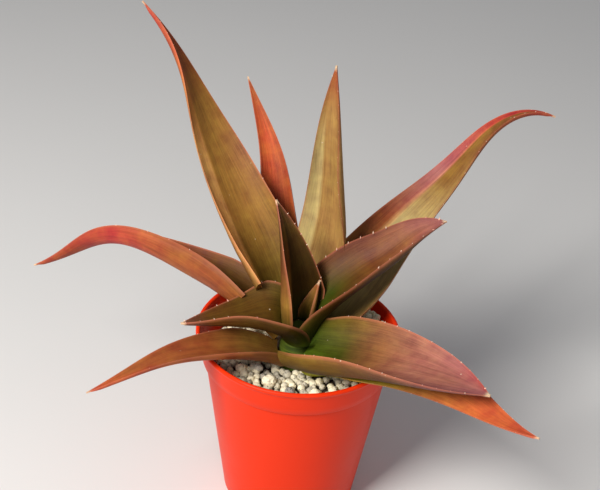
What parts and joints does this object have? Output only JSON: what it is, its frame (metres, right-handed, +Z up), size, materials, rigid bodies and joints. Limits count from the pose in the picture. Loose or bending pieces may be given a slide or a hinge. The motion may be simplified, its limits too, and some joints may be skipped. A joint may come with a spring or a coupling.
{
  "type": "potted succulent",
  "caption": "Rosette of pointed, folded, toothed aloe leaves in bronze, gold and rose, growing in stone-topped mix in a round tapered orange-red plastic pot.",
  "frame": {"origin": "centre of the pot's flat base", "axes": "+Z up along the pot and the stem; the broad low leaves reach forward and right, towards -Y and +X"},
  "size_m": [0.2371, 0.157, 0.2096],
  "materials": {
    "pot": "satin moulded polypropylene",
    "potting_mix": "dark, damp and gritty",
    "pumice": "pale and porous",
    "grey_stone": "grey and porous",
    "stem": "short green stem",
    "leaf_gold": "waxy golden-olive skin",
    "leaf_olive": "waxy dark olive skin",
    "leaf_rose": "waxy rose-brown skin",
    "leaf_rust": "waxy rust-orange skin",
    "leaf_bronze": "waxy bronze skin"
  },
  "bodies": {
    "root": {"leaf_back_left_tall": "leaf_gold", "leaf_back_slender": "leaf_rust", "leaf_back_upright": "leaf_gold", "leaf_bud": "leaf_gold", "leaf_front_left_low": "leaf_rust", "leaf_front_right_broad": "leaf_rose", "leaf_front_right_low": "leaf_rust", "leaf_heart": "leaf_olive", "leaf_left_arching": "leaf_rust", "leaf_left_short": "leaf_bronze", "leaf_right_inner": "leaf_rose", "leaf_right_long": "leaf_gold", "pot": "pot", "potting_mix": "potting_mix", "stem": "stem", "stone_01": "pumice", "stone_02": "pumice", "stone_03": "pumice", "stone_04": "grey_stone", "stone_05": "pumice", "stone_06": "pumice", "stone_07": "pumice", "stone_08": "grey_stone", "stone_09": "pumice", "stone_10": "pumice", "stone_11": "pumice", "stone_12": "grey_stone", "stone_13": "pumice", "stone_14": "pumice", "stone_15": "pumice", "stone_16": "grey_stone", "stone_17": "pumice", "stone_18": "pumice", "stone_19": "pumice", "stone_20": "grey_stone", "stone_21": "pumice", "stone_22": "pumice", "stone_23": "pumice", "stone_24": "grey_stone", "stone_25": "pumice", "stone_26": "pumice", "stone_27": "pumice", "stone_28": "grey_stone", "stone_29": "pumice", "stone_30": "pumice", "stone_31": "pumice", "stone_32": "grey_stone"}
  },
  "joints": []
}
